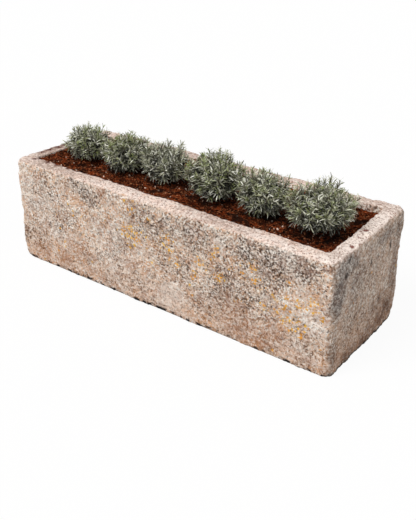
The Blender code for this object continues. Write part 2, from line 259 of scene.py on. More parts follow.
def seenRays(add):
    # 1 for a ray that the camera sends, straight on or by way of a mirror or a glass
    ray = add("LightPath").outputs
    seen = ray["Is Camera Ray"]
    for kind in ("Is Glossy Ray", "Is Transmission Ray"):
        seen = add("Math", seen, ray[kind], operation="MAXIMUM")
    return seen


def makeLight():
    world = bpy.data.worlds.new("studio")
    world.use_nodes = True
    world.node_tree.nodes.clear()
    add = partial(addNode, world.node_tree)
    sky = add("Background", colour(light["skyColour"]), light["skyStrength"])
    paper = add("Background", (1, 1, 1, 1), 1.0)
    add("OutputWorld", add("MixShader", seenRays(add), sky, paper))
    bpy.context.scene.world = world
    for name in ("sun", "fill"):
        lamp = bpy.data.lights.new(name, "SUN")
        lamp.energy, lamp.angle = light[name + "Strength"], math.radians(light[name + "Angle"])
        turn = Vector(light[name + "From"]).to_track_quat("Z", "Y").to_euler()
        newObject(name, lamp).rotation_euler = turn


def makeFloor():
    size = light["floorSize"]
    corners = [(-size, -size, 0), (size, -size, 0), (size, size, 0), (-size, size, 0)]
    floor = newObject("floor", meshOf("floor", corners, [(0, 1, 2, 3)]))
    floor.location.z = light["floorHeight"]
    # white paper to the camera, and a duller sheet to what it lights
    made, add, _ = startMaterial("whiteFloor")
    matt = add("BsdfDiffuse", colour(light["floorTone"]))
    bright = add("BsdfDiffuse", colour(light["floorSeen"]))
    paper = add("MixShader", light["floorGlow"], bright, add("Emission", (1, 1, 1, 1), 1.0))
    add("OutputMaterial", add("MixShader", seenRays(add), matt, paper))
    floor.data.materials.append(made)


# The hewn block.

block = {
    "length": 1.621, "width": 0.580, "height": 0.480,          # m, as the solid
    "endWall": 0.0675, "longWall": 0.071, "floor": 0.080, "gravel": 0.050,
    "cornerRadius": 0.028, "cavityCorner": 0.018,
    "footRounding": 0.006, "rimRounding": 0.014, "rimInnerRounding": 0.005,
    "cavityTaper": 0.016, "cavityFillet": 0.030,
    "leftLean": 0.021, "rightLean": 0.009, "batter": 0.008,
    "rimRises": {"frontLeft": 0.006, "frontRight": -0.010, "backRight": 0.006, "backLeft": -0.010},
    "waveDepth": 0.0045, "waveLength": 0.160,
    "holeRadius": 0.018, "holePlaces": (-0.60, 0.0, 0.60),
    "longSteps": 272, "sideSteps": 98, "cornerSteps": 7, "rowHeight": 0.0058, "waterline": 0.060,
    "hiddenRows": (0.36, 0.28, 0.20),
    # how far an edge's wear reaches, its share inside the rim, and how strong it is at the foot and inside
    "arrisReach": 0.042, "innerReach": 0.4, "footWear": 0.45, "innerWear": 0.55,
    # bottom and top corners that time has knocked off: x, y, z, reach and depth in metres
    "wornCorners": (
        (-0.81, -0.285, 0.0, 0.060, 0.012),
        (0.81, -0.285, 0.0, 0.045, 0.004),
        (0.81, 0.285, 0.0, 0.055, 0.007),
        (-0.81, 0.285, 0.0, 0.080, 0.015),
        (-0.79, -0.29, 0.485, 0.050, 0.006),
        (0.81, -0.29, 0.470, 0.060, 0.008),
        (0.81, 0.29, 0.480, 0.060, 0.008),
    ),
}

# from the lowest to the highest point of each kind of unevenness, and how far apart its lumps are
relief = {
    "Wave Depth": 6.6 * mm, "Wave Size": 85 * mm,
    "Peck Depth": 8.4 * mm, "Peck Size": 22 * mm,
    "Grain Depth": 4.8 * mm, "Grain Size": 12 * mm,
    "Pit Depth": 5.5 * mm, "Pit Spacing": 32 * mm, "Pit Share": 0.40,
    "Chip Depth": 8.0 * mm, "Chip Size": 42 * mm,
}
# the least and most of its cell that a pit takes up, how deep grime is full, the noise that makes chips, and
# their least depth
carving = {"pitReach": (0.12, 0.36), "grimeDepth": -4.0 * mm, "chipFrom": (0.46, 0.68), "chipLeast": 1.0 * mm}


def outline(z, halfLength, halfWidth, radius):
    # a level rectangle with round corners, counter-clockwise from the middle of its left side
    radius = max(radius, block["rimInnerRounding"])
    longSteps, sideSteps, cornerSteps = block["longSteps"], block["sideSteps"], block["cornerSteps"]
    x, y = halfLength - radius, halfWidth - radius
    half = sideSteps // 2
    points = [(-halfLength, -y * i / half) for i in range(half)]
    corners = ((-x, -y, 180), (x, -y, 270), (x, y, 0), (-x, y, 90))
    runs = ((longSteps, 2 * x, 0), (sideSteps, 0, 2 * y), (longSteps, -2 * x, 0), (half, 0, -y))
    for (centreX, centreY, start), (count, runX, runY) in zip(corners, runs):
        for i in range(cornerSteps):
            turn = math.radians(start + 90 * i / cornerSteps)
            points.append((centreX + radius * math.cos(turn), centreY + radius * math.sin(turn)))
        turn = math.radians(start + 90)
        fromX, fromY = centreX + radius * math.cos(turn), centreY + radius * math.sin(turn)
        points += [(fromX + runX * i / count, fromY + runY * i / count) for i in range(count)]
    return np.column_stack([np.array(points), np.full(len(points), z)])


def hewn(points):
    # moves points of the ideal square block to where the leaning, uneven one has them
    x, y, z = points.T
    along, across, up = x / block["length"] + 0.5, y / block["width"] + 0.5, z / block["height"]
    rises = block["rimRises"]
    front = rises["frontLeft"] * (1 - along) + rises["frontRight"] * along
    back = rises["backLeft"] * (1 - along) + rises["backRight"] * along
    overFloor = np.maximum(0, (z - block["floor"]) / (block["height"] - block["floor"]))
    lean = block["leftLean"] * up * (1 - along) + block["rightLean"] * (1 - up) * along
    batter = 2 * block["batter"] / block["width"] * (1 - up)
    rise = (front * (1 - across) + back * across) * overFloor
    return np.stack([x + lean, y * (1 - batter), z + rise], 1)


def blockRing(z, inset):
    return outline(z, block["length"] / 2 - inset, block["width"] / 2 - inset, block["cornerRadius"] - inset)


def cavityHalves(z, inset=0.0):
    # half the cavity's length and width at a height, since it narrows towards its floor
    drawn = block["cavityTaper"] * (block["height"] - z) / (block["height"] - block["floor"]) + inset
    return block["length"] / 2 - block["endWall"] - drawn, block["width"] / 2 - block["longWall"] - drawn


def cavityRing(z, inset=0.0):
    return outline(z, *cavityHalves(z, inset), block["cavityCorner"] - inset)


def stoneRings():
    # rows of points from the foot up the outside, over the rim and down into the cavity, and how far the
    # relief shows on each
    height, floor, waterline, rowHeight, fillet = (
        block[k] for k in ("height", "floor", "waterline", "rowHeight", "cavityFillet"))
    foot, rim, inner = (block[k + "Rounding"] for k in ("foot", "rim", "rimInner"))

    def rounding(steps):
        # a quarter circle, as how far it is from its two ends
        turns = [math.pi / 2 * i / steps for i in range(steps + 1)]
        return [(1 - math.cos(turn), 1 - math.sin(turn)) for turn in turns]

    rows = round((height - foot - rim) / rowHeight)
    rings = [blockRing(foot * up, foot * out) for up, out in rounding(3)]
    rings += [blockRing(foot + (height - foot - rim) * i / rows, 0) for i in range(1, rows)]
    rings += [blockRing(height - rim * down, rim * off) for off, down in rounding(4)]
    edge = [cavityRing(height - inner * down, -inner * off) for down, off in rounding(3)]
    across = round((block["longWall"] - rim - inner) / rowHeight)
    outside = rings[-1]
    rings += [outside * (1 - i / across) + edge[0] * (i / across) for i in range(1, across)] + edge
    shown = [0.0] + [1.0] * (len(rings) - 1)
    below = round(waterline / rowHeight)
    rings += [cavityRing(height - inner - waterline * i / below) for i in range(1, below + 1)]
    shown += [1.0 - 0.6 * i / below for i in range(1, below + 1)]
    rings += [cavityRing(z) for z in (*block["hiddenRows"], floor + block["gravel"])]
    rings += [cavityRing(floor + fillet * up, fillet * off) for up, off in reversed(rounding(3))]
    return rings, shown + [0.0] * (len(rings) - len(shown))


def longRun():
    # the places in a ring where its front side starts and ends
    first = block["sideSteps"] // 2 + block["cornerSteps"]
    return first, first + block["longSteps"]


def spinePoints(ring):
    # the middle line between a ring's front and back sides
    first, last = longRun()
    return [(ring[i] + ring[-i]) / 2 for i in range(first, last + 1)]


def capFaces(start, count, upward):
    # closes one ring over its spine, whose points come after start + count
    first, last = longRun()
    spine = start + count

    def at(i):
        return start + i % count

    faces = [(at(i), at(i + 1), spine) for i in range(-first, first)]
    faces += [(at(i), at(i + 1), spine + last - first) for i in range(last, count - last)]
    for i in range(first, last):
        near, far = spine + i - first, spine + i - first + 1
        faces += [(at(i), at(i + 1), far, near), (near, far, at(-i - 1), at(-i))]
    return faces if upward else [face[::-1] for face in faces]


def makeStoneMesh():
    rings, shown = stoneRings()
    count = len(rings[0])
    # the foot's ring comes first, then its spine, then the other rings, then the cavity floor's spine
    footSpine, floorSpine = spinePoints(rings[0]), spinePoints(rings[-1])
    ideal = np.concatenate([rings[0], footSpine, *rings[1:], floorSpine])
    hidden = [0.0] * len(footSpine)
    weathered = np.array([0.0] * count + hidden + [s for s in shown[1:] for _ in range(count)] + hidden)
    starts = [0] + [count + len(footSpine) + count * i for i in range(len(rings) - 1)]
    faces = capFaces(0, count, False) + capFaces(starts[-1], count, True)
    for low, high in zip(starts, starts[1:]):
        faces += [(low + i, low + (i + 1) % count, high + (i + 1) % count, high + i) for i in range(count)]
    mesh = meshOf("stoneBase", hewn(ideal), faces)
    faceOutward(mesh)
    mesh.shade_smooth()
    paint(mesh, "weathered", weathered)
    paint(mesh, "arris", arrisOf(ideal))
    return mesh, weathered


def arrisOf(ideal):
    # 1 along the block's outer edges, falling to 0 over its reach; less at the foot and the rim's inner edge
    reach = block["arrisReach"]
    fromEnd = block["length"] / 2 - np.abs(ideal[:, 0])
    fromSide = block["width"] / 2 - np.abs(ideal[:, 1])
    fromTop = np.abs(block["height"] - ideal[:, 2])
    inWall = np.maximum(block["endWall"] - fromEnd, block["longWall"] - fromSide)
    inner = np.maximum(np.abs(inWall), fromTop)
    # the second nearest of three faces says how far an edge is
    outer, foot = (np.sort(np.stack([np.abs(fromEnd), np.abs(fromSide), level]), axis=0)[1]
                   for level in (fromTop, np.abs(ideal[:, 2])))
    edges = np.maximum(1 - ease(0, reach, outer), block["footWear"] * (1 - ease(0, reach, foot)))
    return np.maximum(edges, block["innerWear"] * (1 - ease(0, block["innerReach"] * reach, inner)))


def shapeBlock(mesh, weathered):
    # the slow bends of the solid, then the knocked corners
    places, normals = readVertices(mesh, "co"), readVertices(mesh, "normal")
    length = block["waveLength"]
    swell = np.array([noise.noise(Vector(p) / length) if w > 0 else 0 for p, w in zip(places, weathered)])
    places = places + normals * (swell * block["waveDepth"] * weathered)[:, None]
    for x, y, z, reach, depth in block["wornCorners"]:
        away = np.linalg.norm(places - np.array([x, y, z]), axis=1)
        inward = np.array([-math.copysign(1, x), -math.copysign(1, y), 0.9 if z < 0.1 else -0.9])
        inward = inward / np.linalg.norm(inward)
        places = places + inward * (depth * (1 - ease(0.15, 1.0, away / reach)))[:, None]
    places[:, 2] = np.maximum(places[:, 2], 0)
    mesh.vertices.foreach_set("co", places.astype(np.float32).ravel())
    mesh.update()


def makeReliefTree():
    tree, add, get = startTree("HewnRelief", relief)
    place = add("InputPosition")
    weathered = add("InputNamedAttribute", "weathered")
    arris = add("InputNamedAttribute", "arris")

    # pits, one in each chosen cell, as wide as the cell's second random number says
    scale = add("Math", 1.0, get["Pit Spacing"], operation="DIVIDE")
    cells = add("TexVoronoi", Vector=place, Scale=scale).outputs
    numbers = add("SeparateXYZ", cells["Color"]).outputs
    chosen = add("Math", numbers[0], get["Pit Share"], operation="LESS_THAN")
    width = add("MapRange", numbers[1], 0.0, 1.0, *carving["pitReach"])
    bowl = add("MapRange", cells["Distance"], 0.0, width, -1.0, 0.0, interpolation_type="SMOOTHSTEP")
    bowl = add("Math", bowl, chosen, operation="MULTIPLY")
    rise = add("Math", bowl, get["Pit Depth"], operation="MULTIPLY")

    # peck marks and grain over them; what lies low so far is where grime gathers
    for label, detail in (("Peck", 2.0), ("Grain", 1.0), ("Wave", 2.0)):
        rise = addLumps(add, place, get[label + " Size"], get[label + " Depth"], rise, detail, 0.55)
        if label == "Grain":
            hollow = add("MapRange", rise, 0.0, carving["grimeDepth"], 0.0, weathered)

    # chips along the arrises
    scale = add("Math", 1.0, get["Chip Size"], operation="DIVIDE")
    lumps = add("TexNoise", Vector=place, Scale=scale, Detail=3.0, Roughness=0.6)
    chip = add("MapRange", lumps, *carving["chipFrom"], carving["chipLeast"], get["Chip Depth"],
               interpolation_type="SMOOTHSTEP")
    chip = add("Math", chip, arris, operation="MULTIPLY")
    rise = add("Math", rise, chip, operation="SUBTRACT")
    rise = add("Math", rise, weathered, operation="MULTIPLY")
    offset = add("VectorMath", add("InputNormal"), Scale=rise, operation="SCALE")
    stored = add("StoreNamedAttribute", get["Geometry"], Name="hollow", Value=hollow)
    endTree(add, add("SetPosition", stored, Offset=offset), limestone)
    return tree


# What grows on the stone and stains it, in patches. Each gives its place on a face and its reach in
# millimetres, and its strength in hundredths. The front's are in x and z.
stains = {
    "orangePatch": (
        (-100, 310, 75, 60), (-90, 430, 60, 45), (-145, 320, 35, 55), (10, 300, 50, 40), (70, 335, 45, 55),
        (100, 280, 45, 60), (129, 244, 25, 80), (207, 230, 28, 95), (231, 292, 32, 75), (278, 272, 24, 90),
        (326, 268, 34, 100), (318, 375, 24, 90), (294, 345, 28, 70), (381, 317, 18, 100),
        (434, 352, 24, 60), (480, 358, 32, 85), (441, 309, 25, 70), (534, 202, 26, 100), (503, 295, 40, 60),
        (575, 257, 34, 75), (628, 283, 20, 95), (638, 342, 16, 95), (620, 215, 50, 75), (682, 268, 30, 95),
        (736, 285, 40, 80), (773, 241, 22, 90), (781, 129, 16, 90), (418, 186, 20, 80), (680, 170, 60, 45),
        (-453, 311, 22, 70), (-391, 211, 20, 50), (-4, 220, 20, 70), (-8, 404, 20, 50),
    ),
    "greyPatch": (
        (-415, 470, 80, 70), (-365, 440, 60, 100), (-330, 405, 50, 100), (-768, 126, 60, 90),
        (-600, 360, 90, 45), (-50, 400, 110, 80), (50, 370, 120, 62), (210, 400, 110, 80),
        (367, 420, 60, 50), (565, 375, 120, 100), (690, 415, 90, 100), (350, 260, 110, 80),
        (455, 415, 85, 100), (440, 190, 100, 75), (330, 170, 100, 70), (500, 240, 90, 60),
        (-680, 160, 90, 45), (700, 130, 80, 40), (260, 130, 100, 55), (160, 220, 100, 50),
        (440, 90, 80, 45), (500, 300, 120, 45), (-250, 280, 100, 15),
    ),
    "palePatch": (
        (323, 408, 40, 90), (88, 85, 110, 100), (744, 205, 70, 70), (-200, 100, 140, 60),
        (-680, 330, 120, 60), (-235, 223, 60, 50), (665, 69, 80, 55), (610, 460, 100, 90),
        (-20, 70, 90, 50), (-570, 210, 70, 80), (-190, 280, 60, 50),
    ),
    "tanPatch": (
        (-529, 71, 60, 80), (-263, 455, 30, 90), (-439, 150, 90, 60), (-655, 67, 70, 45),
        (399, 137, 100, 55), (450, 60, 110, 65), (580, 95, 80, 70), (-125, 178, 50, 50), (505, 24, 80, 60),
    ),
}

# the right end's, in y and z, with a reach each way; the grey patches are grey stains with painted shade high
# under the rim, and the slots are painted shade
endStains = {
    "endGreyShade": (
        (-210, 430, 110, 60, 100), (-250, 340, 60, 120, 100), (100, 430, 160, 30, 60),
        (-120, 330, 100, 90, 40), (-260, 100, 40, 100, 60), (220, 380, 50, 100, 35),
    ),
    "endTan": (
        (170, 70, 130, 80, 100), (20, 40, 120, 50, 90), (-140, 30, 100, 40, 70), (220, 220, 60, 120, 70),
        (100, 140, 100, 60, 60),
    ),
    "endSlotShade": (
        (-13, 368, 10, 22, 100), (160, 368, 16, 30, 100), (44, 373, 10, 20, 90), (-140, 410, 22, 14, 80),
        (-217, 400, 16, 20, 90), (-190, 450, 30, 12, 80), (220, 420, 16, 40, 60), (100, 160, 12, 10, 90),
        (-130, 170, 8, 8, 90), (190, 240, 10, 10, 80), (-70, 250, 6, 14, 60), (20, 100, 10, 8, 80),
    ),
}

# the rim's, in x and y: brown pits, darker grey lengths, and the crumbs of old soil that fur the left rim
rimStains = {
    "rimPit": (
        (772, 5, 11, 100), (787, -135, 9, 100), (776, -60, 5, 100), (206, 268, 10, 100),
        (800, -100, 4, 100), (-300, -262, 5, 100), (-470, -258, 5, 100),
    ),
    "rimGrey": (
        (-610, -255, 110, 100), (-720, -250, 80, 50), (-480, -250, 80, 60), (-360, -250, 70, 30),
        (290, -250, 110, 70), (160, -250, 80, 50), (420, -250, 70, 40), (-770, -120, 120, 90),
        (-770, 40, 120, 70), (-770, 200, 120, 50), (-550, 250, 160, 60), (-200, 250, 200, 60),
        (200, 250, 200, 60), (550, 250, 160, 60), (700, 240, 80, 50), (775, 215, 60, 70),
        (775, -215, 50, 60),
    ),
    "rimSoil": (
        (-766, -150, 22, 100), (-764, -105, 30, 100), (-758, -55, 28, 100), (-764, -10, 32, 100),
        (-758, 35, 30, 100), (-766, 75, 34, 100), (-758, 115, 30, 100), (-764, 155, 34, 100),
        (-752, 200, 36, 100), (-735, 60, 18, 100), (-735, 160, 20, 100), (-640, 232, 34, 100),
        (-560, 228, 26, 100), (-500, 232, 24, 100), (-715, -236, 20, 100), (-640, -230, 20, 100),
        (-585, -226, 20, 100), (-520, -228, 14, 100), (-470, -224, 16, 100), (-400, -222, 14, 100),
        (-300, -224, 14, 100), (-220, -222, 10, 100), (-150, 235, 20, 100), (80, 232, 14, 100),
        (240, 232, 16, 100), (-50, -222, 12, 100), (120, -222, 9, 100), (300, -224, 8, 100),
    ),
}

# where a patch starts to fade and where it is gone, as shares of its reach
fades = {"rimPit": (0.6, 1.3), "rimSoil": (0.2, 1.2), "rimGrey": (0.4, 1.2)}
usualFade = (0.25, 1.15)
# how far a face has to be turned its way to show its patches, and where along x the rim's right end begins
sideTurned, topTurned, rightRim = (0.3, 0.8), (0.35, 0.8), (0.70, 0.76)


def paintStone(mesh):
    x, y, z = readVertices(mesh, "co").T
    facingX, facingY, facingZ = readVertices(mesh, "normal").T
    end, front = ease(*sideTurned, facingX), ease(*sideTurned, -facingY)
    top = ease(*topTurned, facingZ) * (z > block["height"] - 80 * mm)
    for marks, across, up, share in ((stains, x, z, front), (endStains, y, z, end), (rimStains, x, y, top)):
        for name, patches in marks.items():
            field = np.zeros(len(x))
            for placeA, placeB, *reach, strength in patches:
                away = np.hypot((across - placeA * mm) / reach[0], (up - placeB * mm) / reach[-1]) / mm
                fade = 1 - ease(*fades.get(name, usualFade), away)
                field = np.maximum(field, strength / 100 * fade)
            paint(mesh, name, field * share)
    paint(mesh, "top", top)
    paint(mesh, "endRim", top * ease(*rightRim, x))
    paint(mesh, "rightEnd", end)


# Each wash: tone, size of its clouds in millimetres, how ragged they are, where the noise begins and is full,
# the least and most cover, the mask that it keeps to, the shift of its noise and its scale along z.
stoneLook = {
    "ground": "#EBBB95",
    # clouds of lichen: shift, size in millimetres, detail, window, cover and how it fades
    "growths": (
        ("clouds", 14, 110, 3.0, (0.42, 0.66), (0, 0.54), "SMOOTHSTEP"),
        ("specks", 41, 90, 2.0, (0.60, 0.72), (0, 0.10), "LINEAR"),
    ),
    # masks from earlier ones: two joined, or one whose range from low to high becomes another
    "masks": (
        ("calmEnd", "range", "rightEnd", 0, 1, 1, 0.72),  # the end's grain is calmer than the front's
        ("calmRim", "range", "top", 0, 1, 1, 0.27),  # and the rubbed rim's is calmer still
        ("rough", "multiply", "calmEnd", "calmRim"),
        ("notTop", "range", "top", 0, 1, 1, 0.08),
        ("rubbed", "range", "top", 0, 1, 1, 0.30),
        ("hollow", "multiply", "hollow", "rubbed"),
        # full below 12 mm and gone by 19 mm: the band where a contact shadow is painted along the foot
        ("foot", "range", "height", 12 * mm, 19 * mm, 1, 0),
        ("low", "range", "height", 50 * mm, 210 * mm, 1, 0),
        # the same band on the right end, where a contact shadow is painted along its foot
        ("endFoot", "range", "height", 7 * mm, 15 * mm, 1, 0),
        ("endFoot", "multiply", "endFoot", "rightEnd"),
        ("lichen", "maximum", "clouds", "greyPatch"),  # grey lichen, in wide clouds and in patches
        ("lichen", "multiply", "lichen", "notTop"),
        ("chalkChance", "range", "lichen", 0, 1, 0.12, 0.34),
        ("darkShare", "range", "lichen", 0, 1, 0.09, 0.29),
        ("poreLevel", "range", "lichen", 0, 1, 0.420, 0.484),
        ("clean", "range", "lichen", 0, 1, 1, 0.72),
        ("clean", "multiply", "clean", "rough"),
        ("orange", "maximum", "specks", "orangePatch"),  # a little anywhere, and most in its patches
        ("orange", "multiply", "orange", "notTop"),
        ("orangeChance", "range", "orange", 0, 1, 0, 0.88),
        ("orangeDust", "range", "orange", 0, 1, 0, 0.46),
        ("bump", "range", "top", 0, 1, 4.5 * mm, 1.8 * mm),
    ),
    "washes": (
        ("#F6DBC4", 70, 0.55, (0.36, 0.6), (0, 0.92), None, 0, 1),  # cream
        ("#D59F78", 55, 0.55, (0.5, 0.66), (0, 0.6), None, 12, 1),  # peach
        ("#CB9A7C", 24, 0.6, (0.46, 0.64), (0, 0.45), None, 3.1, 1),  # rose
        ("#FFF6EE", 20, 0.6, (0.25, 0.5), (0.2, 0.6), "palePatch", 7.7, 1),  # chalk
        ("#AE7046", 20, 0.6, (0.35, 0.6), (0.35, 0.95), "tanPatch", 9.2, 1),  # iron stain
        ("#7F6756", 18, 0.65, (0.34, 0.56), (0.12, 0.82), "lichen", 21, 1),  # grey lichen
        ("#F3E1D6", 30, 0.6, (0.22, 0.5), (0.6, 0.98), "top", 51, 1),  # rubbed rim
        ("#E9C6B4", 30, 0.6, (0.44, 0.62), (0, 0.6), "top", 52, 1),  # its pink parts
        ("#FAEADF", 30, 0.6, (0.26, 0.46), (0.8, 1), "endRim", 53, 1),  # palest at the right end
        ("#C4A68F", 90, 0.5, (0.2, 0.5), (0.6, 0.8), "rightEnd", 59, 1),  # painted cool shade over the whole right end
        ("#7C6E66", 26, 0.6, (0.46, 0.68), (0, 0.4), "rightEnd", 61, 0.28),  # its rain streaks
        # grey stains with painted shade, high on the right end under its rim
        ("#6E6663", 20, 0.6, (0.25, 0.55), (0.4, 0.85), "endGreyShade", 62, 0.6),
        ("#85593C", 22, 0.6, (0.34, 0.6), (0.3, 0.8), "endTan", 65, 0.7),
        ("#FFF0E0", 15, 0.6, (0.53, 0.68), (0, 0.26), "rough", 5.7, 1),  # coarse mottle
        ("#54443A", 15, 0.6, (0.45, 0.3), (0, 0.16), "rough", 5.7, 1),
    ),
    # spacing, shift, where pale begins and is full, its cover, how steeply dark sets in, and its cover
    "grains": ((10 * mm, 83, (0.605, 0.79), 0.30, 9.0, 0.285), (6.2 * mm, 89, (0.605, 0.79), 1.0, 9.0, 0.95)),
    "pores": (8.4 * mm, 27, (0.56, 0.63), 0.68, 14.0, 0.80),
    "paleGrain": "#FFF7EE", "darkGrain": "#432D22",
    # size of the clouds that make it more or less dull, their window, and the roughness from least to most
    "dull": (12 * mm, (0.3, 0.7), (0.82, 0.98)),
    # spots: tone, spacing, smallest and largest reach, shift, the mask that gives their chance, and cover
    "spots": (
        ("#FFF6EC", (16 * mm, 2.0 * mm, 5.5 * mm, 63), "chalkChance", 0.88),  # shell flakes
        ("#F6DCD4", (12 * mm, 1.5 * mm, 3.6 * mm, 67), "chalkChance", 0.7),  # pinkish flakes
        ("#FFCB48", (13 * mm, 3.8 * mm, 8.4 * mm, 33), "orangeChance", 0.95),  # orange lichen
        ("#F0B04A", (7 * mm, 1.5 * mm, 3.4 * mm, 37), "orangeDust", 0.8),
    ),
    "orangeDeep": "#F0A038",
    "finish": (
        ("#C98A58", 50, 0.6, (0.3, 0.55), (0.1, 0.26), "low", 88, 1),  # warm splash zone
        ("#B8835F", 24, 0.6, (0.34, 0.56), (0.1, 0.46), "tanPatch", 90, 1),  # rust over the grains
        ("#B08A78", 34, 0.6, (0.5, 0.64), (0, 0.3), "rough", 92, 1),  # rosy film in places
        ("#5C4536", 9, 0.6, (0.3, 0.5), (0.35, 0.75), "hollow", 91, 1),  # grime in the hollows
        ("#A38B7D", 16, 0.65, (0.36, 0.6), (0.1, 0.85), "rimGrey", 55, 1),  # darker grey lengths of the rim
        ("#7E4636", 8, 0.7, (0.59, 0.64), (0, 0.9), "top", 93, 1),  # specks in the rim
        ("#957562", 10, 0.7, (0.56, 0.61), (0, 0.8), "top", 95, 1),
        ("#742C1A", 7, 0.6, (0.1, 0.3), (0.85, 1), "rimPit", 94, 1),
        ("#4E1B0C", 19, 0.7, (0.41, 0.46), (0, 1), "rimSoil", 57, 1),  # crumbs of soil
        ("#553A2B", 26, 0.65, (0.38, 0.58), (0.1, 0.7), "endTan", 96, 0.6),  # damp foot of the end
        # grey stains with painted shade, high on the right end under its rim
        ("#524C4A", 22, 0.65, (0.4, 0.6), (0.05, 0.45), "endGreyShade", 98, 0.5),
        ("#322A26", 10, 0.6, (0.4, 0.5), (0.1, 0.88), "endSlotShade", 97, 0.35),  # painted shade in slots and tool marks
        ("#17110D", 24, 0.6, (0.46, 0.55), (0.1, 1), "foot", 99, 1),  # painted contact shadow along the foot, as a broken dark line
        # painted contact shadow along the right end's foot
        ("#1E1510", 22, 0.6, (0.36, 0.5), (0.15, 0.92), "endFoot", 87, 1),
    ),
}


def makeLimestone():
    # Limestone, hewn with a point and weathered for a century: a chalky, pecked skin of cream and pinkish
    # grains, black and grey lichen in the hollows, orange lichen in small spots, and pale rubbed arrises.
    made, add, place = startMaterial("weatheredLimestone")
    look = stoneLook
    names = (*stains, *endStains, *rimStains, "top", "endRim", "rightEnd", "hollow")
    masks = {name: add("Attribute", attribute_name=name).outputs["Fac"] for name in names}
    masks["height"] = add("SeparateXYZ", place).outputs["Z"]
    for name, shift, size, detail, window, cover, way in look["growths"]:
        cloud = addNoise(add, place, shift, size * mm, detail)
        masks[name] = add("MapRange", cloud, *window, *cover, interpolation_type=way)
    for name, way, *inputs in look["masks"]:
        inputs = [masks.get(value, value) for value in inputs]
        if way == "range":
            masks[name] = add("MapRange", *inputs)
        else:
            masks[name] = add("Math", *inputs, operation=way.upper())

    def addGrains(below, values, darkUnder, window, paleCover, steepness, darkCover):
        # a pale tone where the values lie over a window, and a dark one where they lie under a level
        pale = add("MapRange", values, *window, 0.0, paleCover)
        below = addTone(add, below, look["paleGrain"], pale, masks["clean"])
        dark = add("Math", masks[darkUnder], values, operation="SUBTRACT")
        dark = add("Math", dark, steepness, operation="MULTIPLY", use_clamp=True)
        dark = add("Math", dark, darkCover, operation="MULTIPLY")
        return addTone(add, below, look["darkGrain"], dark, masks["rough"])

    # crisp grains, each light, dark or of the ground's own colour, then the pores between them, which the
    # bump follows too
    base = addWashes(add, place, masks, colour(look["ground"]), look["washes"])
    for spacing, shift, *tones in look["grains"]:
        _, numbers = addCells(add, place, spacing, shift, 0.6, 1.1, 0.0)
        base = addGrains(base, numbers[0], "darkShare", *tones)
    size, shift, *tones = look["pores"]
    pores = addNoise(add, place, shift, size, 2.0, 0.8)
    base = addGrains(base, pores, "poreLevel", *tones)

    for tone, spots, chance, cover in look["spots"]:
        blob, number = addSpots(add, place, masks[chance], spots)
        if chance == "orangeChance":
            tone = addTone(add, colour(tone), look["orangeDeep"], number)
        base = addTone(add, base, tone, blob, cover)
    base = addWashes(add, place, masks, base, look["finish"])

    size, window, roughness = look["dull"]
    dull = add("MapRange", addNoise(add, place, 0, size), *window, *roughness)
    bump = add("Bump", Strength=1.0, Distance=masks["bump"], Height=pores)
    endMaterial(add, Base_Color=base, Roughness=dull, Normal=bump, Specular_IOR_Level=0.25)
    return made


def drillHoles(stone):
    # the three drain holes, through the floor
    bm = bmesh.new()
    floor, radius = block["floor"], block["holeRadius"]
    for share in block["holePlaces"]:
        x, y, _ = hewn(np.array([[share * (block["length"] / 2 - block["endWall"]), 0, floor]]))[0]
        made = bmesh.ops.create_cone(bm, cap_ends=True, segments=32, radius1=radius, radius2=radius,
                                     depth=2 * floor)
        bmesh.ops.translate(bm, verts=made["verts"], vec=(x, y, floor / 2))
    mesh = bpy.data.meshes.new("drill")
    bm.to_mesh(mesh)
    bm.free()
    drill = newObject("drill", mesh, shown=False)
    modifier = stone.modifiers.new("drainHoles", "BOOLEAN")
    modifier.operation, modifier.solver, modifier.object = "DIFFERENCE", "MANIFOLD", drill
    cut = evaluated(stone)
    stone.modifiers.remove(modifier)
    bpy.data.objects.remove(drill)
    old, stone.data = stone.data, cut
    bpy.data.meshes.remove(old)
    cut.shade_smooth()


def makeStone():
    mesh, weathered = makeStoneMesh()
    shapeBlock(mesh, weathered)
    stone = runTree("stoneTrough", newObject("stoneSource", mesh), makeReliefTree(), relief)
    drillHoles(stone)
    for vertex in stone.data.vertices:
        vertex.co.z = max(vertex.co.z, 0)                       # it stands on the floor, not in it
    paintStone(stone.data)
    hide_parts("trough_body")
    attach(stone, "root")
    print("stone:", len(stone.data.polygons), "faces")


# The potting soil, which fills the trough from the gravel up to just under the rim.

soil = {
    "freeboardLeft": 0.020, "freeboardRight": 0.034,       # m below the ideal rim at each end
    "step": 0.0062, "intoWall": 0.0015,
    "swellDepth": 0.006, "swellLength": 0.070,
    # it rises to the walls, more so left of where leftBank fades, and round the plants, over shares of their
    # root ball's radius; shade is painted on it under the plants, over shares of their spread
    "bank": 0.007, "leftBank": 0.013, "leftFade": (-0.73, -0.62), "bankWidth": 0.045,
    "mound": 0.009, "moundFade": (0.4, 1.3), "plantShadeFade": (0.56, 1.02),
    "clods": {"Clod Depth": 15 * mm, "Clod Size": 26 * mm, "Crumb Depth": 8 * mm, "Crumb Size": 8.5 * mm,
              "Density": 5200.0, "Smallest": 1.8 * mm, "Largest": 6.0 * mm, "Seed": 4},
}


def soilLevel(x):
    along = x / block["length"] + 0.5
    return block["height"] - (soil["freeboardLeft"] * (1 - along) + soil["freeboardRight"] * along)


def rootBall(number):
    # the middle of a root ball's top, and its radius
    low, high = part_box(f"plant_{number}_root_ball")
    return Vector(((low.x + high.x) / 2, (low.y + high.y) / 2, high.z)), (high.x - low.x) / 2


